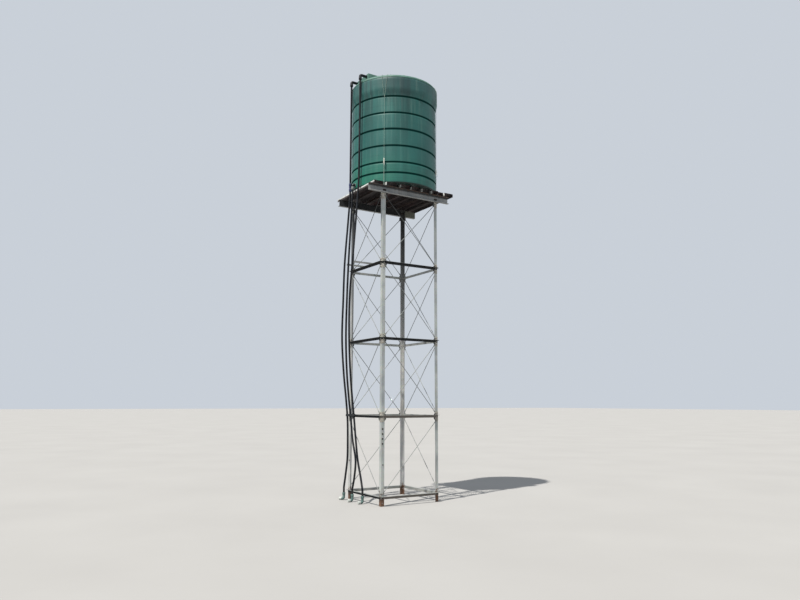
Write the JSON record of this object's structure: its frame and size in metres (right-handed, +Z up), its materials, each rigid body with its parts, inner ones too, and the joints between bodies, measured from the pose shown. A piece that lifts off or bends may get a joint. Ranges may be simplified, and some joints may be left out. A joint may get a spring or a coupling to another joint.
{
  "type": "water tower",
  "caption": "Free-standing water tower: a grooved green plastic tank on a steel deck and four braced angle legs, with black pipes down one side.",
  "frame": {"origin": "on the ground, under the middle of the tower's outline in plan; the tower's own axis is 55 mm to the right of it", "axes": "+Z up; the front is -Y and the right is +X; the pipes run down the left side, at -X"},
  "size_m": [2.1028, 1.87, 8.8389],
  "materials": {
    "galvanised_steel": "weathered zinc, dull, with rust at the feet and joints",
    "deck_steel": "dark red-brown primer, faded and rusty",
    "tank_plastic": "moulded, sun-faded, with vertical dirt streaks",
    "pipe_plastic": "satin black",
    "coupling_plastic": "satin blue",
    "fitting_plastic": "faded grey-green",
    "rope_fibre": "twisted fibre"
  },
  "bodies": {
    "root": {"leg_front_left": "galvanised_steel", "leg_front_right": "galvanised_steel", "leg_back_right": "galvanised_steel", "leg_back_left": "galvanised_steel", "lattice_front": "galvanised_steel", "lattice_right": "galvanised_steel", "lattice_back": "galvanised_steel", "lattice_left": "galvanised_steel", "base_brace_front": "galvanised_steel", "base_brace_right": "galvanised_steel", "base_brace_back": "galvanised_steel", "base_brace_left": "galvanised_steel", "foot_rod_front": "galvanised_steel", "foot_rod_right": "galvanised_steel", "foot_rod_back": "galvanised_steel", "foot_rod_left": "galvanised_steel", "beam_front": "galvanised_steel", "beam_back": "galvanised_steel", "deck_channel_1": "deck_steel", "deck_channel_2": "deck_steel", "deck_channel_3": "deck_steel", "deck_channel_4": "deck_steel", "deck_channel_5": "deck_steel", "deck_channel_6": "deck_steel", "deck_channel_7": "deck_steel", "deck_channel_8": "deck_steel", "tank_floor": "tank_plastic", "tank_wall": "tank_plastic", "tank_roof": "tank_plastic", "tank_lid": "tank_plastic", "fill_elbow": "pipe_plastic", "overflow_elbow": "pipe_plastic", "fill_pipe_upper": "pipe_plastic", "fill_pipe_lower": "pipe_plastic", "overflow_pipe": "pipe_plastic", "supply_pipe": "pipe_plastic", "pipe_coupling": "coupling_plastic", "tank_outlet": "fitting_plastic", "fill_foot_elbow": "fitting_plastic", "overflow_foot_elbow": "fitting_plastic", "supply_foot_elbow": "fitting_plastic", "bracket_bar_1": "galvanised_steel", "bracket_bar_2": "galvanised_steel", "pipe_tie": "galvanised_steel", "tie_rope_1": "rope_fibre", "tie_rope_2": "rope_fibre"}
  },
  "joints": []
}
